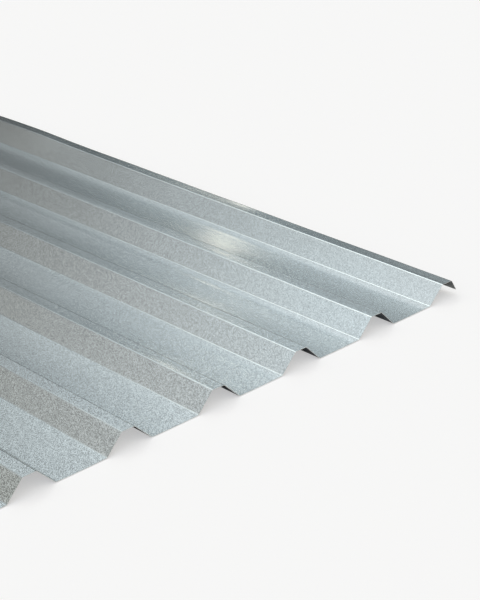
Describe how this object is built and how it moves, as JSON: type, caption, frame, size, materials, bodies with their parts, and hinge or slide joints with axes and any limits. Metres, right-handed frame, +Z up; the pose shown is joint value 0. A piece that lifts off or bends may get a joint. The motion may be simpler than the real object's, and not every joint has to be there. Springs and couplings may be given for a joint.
{
  "type": "corrugated metal sheet",
  "caption": "Long thin galvanised steel sheet with narrow trapezoidal ribs, wide flat pans and a turned-down lap edge, for roofing and cladding.",
  "frame": {"origin": "middle of the footprint, on the level that the pans rest on", "axes": "+X across the ribs, towards the turned-down lap flange; +Y along the ribs; +Z up, out of the ribs' crests"},
  "size_m": [1.0956, 2, 0.0357],
  "materials": {
    "galvanised_steel": "hot-dip galvanised, fine dull spangle, unpainted"
  },
  "bodies": {
    "root": {"corrugated_sheet": "galvanised_steel"}
  },
  "joints": []
}
